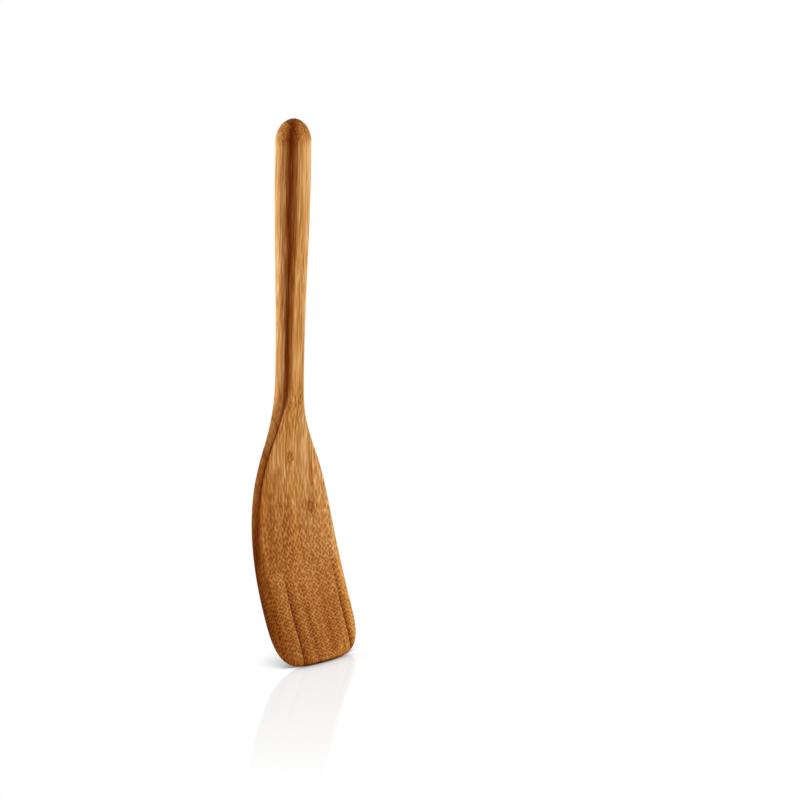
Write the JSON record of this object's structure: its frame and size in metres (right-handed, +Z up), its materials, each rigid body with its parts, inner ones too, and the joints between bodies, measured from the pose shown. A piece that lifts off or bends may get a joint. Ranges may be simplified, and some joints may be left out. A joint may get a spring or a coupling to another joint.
{
  "type": "bamboo turner",
  "caption": "Bent kitchen turner with a flat, round-cornered blade and an oval handle, shaped from glued strips of carbonised bamboo, held in the hand to turn and lift food.",
  "frame": {"origin": "under the middle of the turner's box, level with the tip edge that it stands on in the picture", "axes": "+Z up the straight handle from the tip to the grip's end, +X across the blade to the right of someone who looks at its hollow face, +Y out of the back, so the hollow face looks towards -Y"},
  "size_m": [0.0632, 0.0446, 0.318],
  "materials": {
    "bamboo_pale": "sanded, oiled, satin",
    "bamboo_golden": "sanded, oiled, satin",
    "bamboo_mid": "sanded, oiled, satin",
    "bamboo_red": "sanded, oiled, satin",
    "bamboo_dark": "sanded, oiled, satin"
  },
  "bodies": {
    "root": {"upper_blade_strip_left_5": "bamboo_dark", "upper_blade_strip_left_4": "bamboo_red", "upper_blade_strip_left_3": "bamboo_pale", "handle_strip_left_2": "bamboo_mid", "handle_strip_left_1": "bamboo_red", "handle_strip_right_1": "bamboo_pale", "handle_strip_right_2": "bamboo_pale", "upper_blade_strip_right_2": "bamboo_pale", "upper_blade_strip_right_3": "bamboo_mid", "upper_blade_strip_right_4": "bamboo_pale", "upper_blade_strip_right_5": "bamboo_pale", "lower_blade_strip_left_5": "bamboo_dark", "lower_blade_strip_left_4": "bamboo_red", "lower_blade_strip_left_3": "bamboo_mid", "lower_blade_strip_left_2": "bamboo_dark", "lower_blade_strip_left_1": "bamboo_mid", "lower_blade_strip_right_1": "bamboo_mid", "lower_blade_strip_right_2": "bamboo_mid", "lower_blade_strip_right_3": "bamboo_red", "lower_blade_strip_right_4": "bamboo_mid", "lower_blade_strip_right_5": "bamboo_dark", "lower_blade_strip_right_6": "bamboo_golden"}
  },
  "joints": []
}
